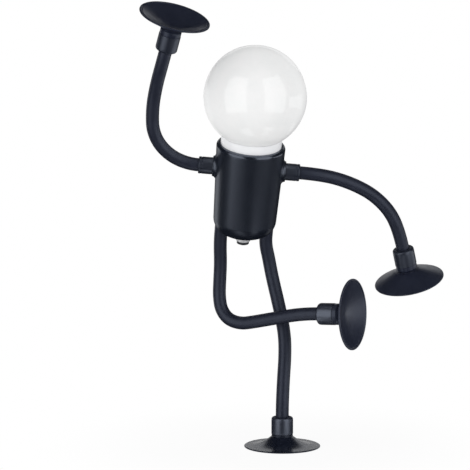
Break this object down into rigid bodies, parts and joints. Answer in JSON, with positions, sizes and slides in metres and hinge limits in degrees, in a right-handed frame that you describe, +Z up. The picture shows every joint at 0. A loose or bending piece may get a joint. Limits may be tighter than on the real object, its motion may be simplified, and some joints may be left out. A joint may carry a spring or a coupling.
{
  "type": "suction cup night light",
  "caption": "Night light shaped like a figure on one leg: globe bulb head, cylindrical body, and bendable limbs that end in suction cups.",
  "frame": {"origin": "middle of the standing foot's cup, on the surface that it grips", "axes": "+Z up, +X to the figure's lowered arm (right in the picture), +Y to the back, so that the front faces -Y"},
  "size_m": [0.1834, 0.1021, 0.2704],
  "materials": {
    "body_black": "satin moulded black with a blue cast",
    "shoulder_black": "satin moulded black",
    "ferrule_black": "satin black coat on turned steel",
    "sleeve_silicone": "matte navy black silicone",
    "cup_rubber": "smooth black rubber, slightly shiny",
    "core_metal": "soft drawn rod",
    "plated_steel": "zinc plated",
    "bright_metal": "bright plated",
    "clamp_black": "black moulded",
    "lamp_white": "white moulded",
    "collar_white": "white, satin",
    "globe_opal": "opal white, satin sheen",
    "board_white": "white solder mask",
    "led_yellow": "phosphor yellow",
    "cell_foil": "foil pouch",
    "board_green": "green solder mask",
    "chip_dark": "dark packages",
    "lead_red": "insulated wire",
    "button_black": "satin black"
  },
  "bodies": {
    "standing_foot": {"standing_leg_core_end": "core_metal", "standing_leg_cup": "cup_rubber", "standing_leg_ferrule": "ferrule_black", "standing_leg_sleeve_end": "sleeve_silicone", "standing_leg_stud": "plated_steel"},
    "standing_shin": {"standing_leg_core_middle": "core_metal", "standing_leg_sleeve_middle": "sleeve_silicone"},
    "torso": {"arm_bridge": "clamp_black", "battery_cell": "cell_foil", "board_components": "chip_dark", "body_shell": "body_black", "bulb_collar": "collar_white", "bulb_globe": "globe_opal", "carrier_screws": "plated_steel", "charging_socket": "bright_metal", "clamp_screws": "plated_steel", "control_board": "board_green", "lamp_carrier": "lamp_white", "led_board": "board_white", "led_leads": "lead_red", "leds": "led_yellow", "leg_deck": "clamp_black", "lowered_arm_core_root": "core_metal", "lowered_arm_sleeve_root": "sleeve_silicone", "lowered_shoulder_ferrule": "shoulder_black", "raised_arm_core_root": "core_metal", "raised_arm_sleeve_root": "sleeve_silicone", "raised_leg_core_root": "core_metal", "raised_leg_sleeve_root": "sleeve_silicone", "raised_shoulder_ferrule": "shoulder_black", "shoulder_nuts": "plated_steel", "standing_leg_core_root": "core_metal", "standing_leg_sleeve_root": "sleeve_silicone", "switch_bezel": "bright_metal", "switch_body": "clamp_black"},
    "raised_forearm": {"raised_arm_core_middle": "core_metal", "raised_arm_sleeve_middle": "sleeve_silicone"},
    "raised_hand": {"raised_arm_core_end": "core_metal", "raised_arm_cup": "cup_rubber", "raised_arm_ferrule": "ferrule_black", "raised_arm_sleeve_end": "sleeve_silicone", "raised_arm_stud": "plated_steel"},
    "lowered_forearm": {"lowered_arm_core_middle": "core_metal", "lowered_arm_sleeve_middle": "sleeve_silicone"},
    "lowered_hand": {"lowered_arm_core_end": "core_metal", "lowered_arm_cup": "cup_rubber", "lowered_arm_ferrule": "ferrule_black", "lowered_arm_sleeve_end": "sleeve_silicone", "lowered_arm_stud": "plated_steel"},
    "raised_shin": {"raised_leg_core_middle": "core_metal", "raised_leg_sleeve_middle": "sleeve_silicone"},
    "raised_foot": {"raised_leg_core_end": "core_metal", "raised_leg_cup": "cup_rubber", "raised_leg_ferrule": "ferrule_black", "raised_leg_sleeve_end": "sleeve_silicone", "raised_leg_stud": "plated_steel"},
    "push_button": {"switch_button": "button_black"}
  },
  "joints": [
    {"name": "ankle_bend", "type": "hinge", "parent": "standing_foot", "child": "standing_shin", "pos_m": [0.0005, 0.002, 0.036], "axis": [1, 0, 0], "range_deg": [-15, 15]},
    {"name": "hip_bend", "type": "hinge", "parent": "standing_shin", "child": "torso", "pos_m": [-0.0075, 0.0155, 0.109], "axis": [0, 1, 0], "range_deg": [-5, 15]},
    {"name": "raised_arm_swing", "type": "hinge", "parent": "torso", "child": "raised_forearm", "pos_m": [-0.0723, -0.002, 0.1827], "axis": [-0.7866, 0.2799, -0.5504], "range_deg": [-25, 25]},
    {"name": "raised_arm_bend", "type": "hinge", "parent": "raised_forearm", "child": "raised_hand", "pos_m": [-0.0764, -0.0105, 0.2138], "axis": [0.1052, 0.939, 0.3276], "range_deg": [-35, 15]},
    {"name": "lowered_arm_swing", "type": "hinge", "parent": "torso", "child": "lowered_forearm", "pos_m": [0.035, 0.006, 0.1616], "axis": [0.3577, -0.048, 0.9326], "range_deg": [-25, 25]},
    {"name": "lowered_arm_bend", "type": "hinge", "parent": "lowered_forearm", "child": "lowered_hand", "pos_m": [0.0622, 0.0185, 0.1438], "axis": [-0.281, 0.9496, 0.1386], "range_deg": [-35, 35]},
    {"name": "raised_leg_swing", "type": "hinge", "parent": "torso", "child": "raised_shin", "pos_m": [-0.0376, 0.018, 0.103], "axis": [-0.8562, 0.5081, 0.0936], "range_deg": [-4, 30]},
    {"name": "raised_leg_bend", "type": "hinge", "parent": "raised_shin", "child": "raised_foot", "pos_m": [-0.0135, 0.003, 0.0764], "axis": [-0.4807, -0.8754, -0.0507], "range_deg": [-35, 35]},
    {"name": "button_press", "type": "slide", "parent": "torso", "child": "push_button", "axis": [0.0775, -0.2588, 0.9628], "range_m": [0, 0.0012], "stiffness_N_per_m": 400, "springref_m": -0.0012}
  ]
}
